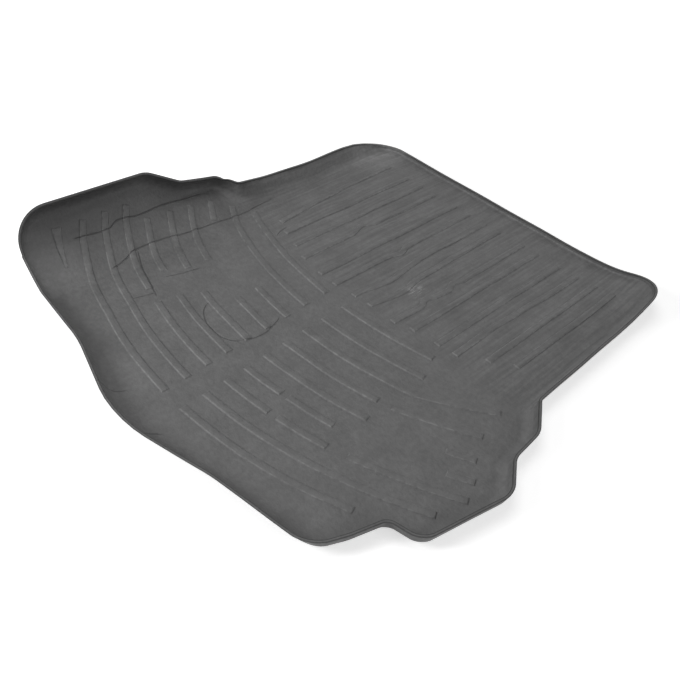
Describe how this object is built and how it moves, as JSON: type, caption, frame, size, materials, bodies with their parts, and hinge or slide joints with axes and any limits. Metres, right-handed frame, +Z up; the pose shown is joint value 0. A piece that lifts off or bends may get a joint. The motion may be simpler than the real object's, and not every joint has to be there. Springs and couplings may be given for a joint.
{
  "type": "car boot liner",
  "caption": "Shallow one-piece rubber tray for a car boot, with a drafted wall, shaped bays for the wheel arches, moulded grip ribs and a low lip at the seats.",
  "frame": {"origin": "centre of the bounding box in plan, on the plane that the underside rests on", "axes": "+Z up out of the tray, +Y towards the rear seats, X across the car"},
  "size_m": [1.1302, 1.192, 0.1541],
  "materials": {
    "rubber": "matt moulded, fine grain"
  },
  "bodies": {
    "root": {"liner": "rubber"}
  },
  "joints": []
}
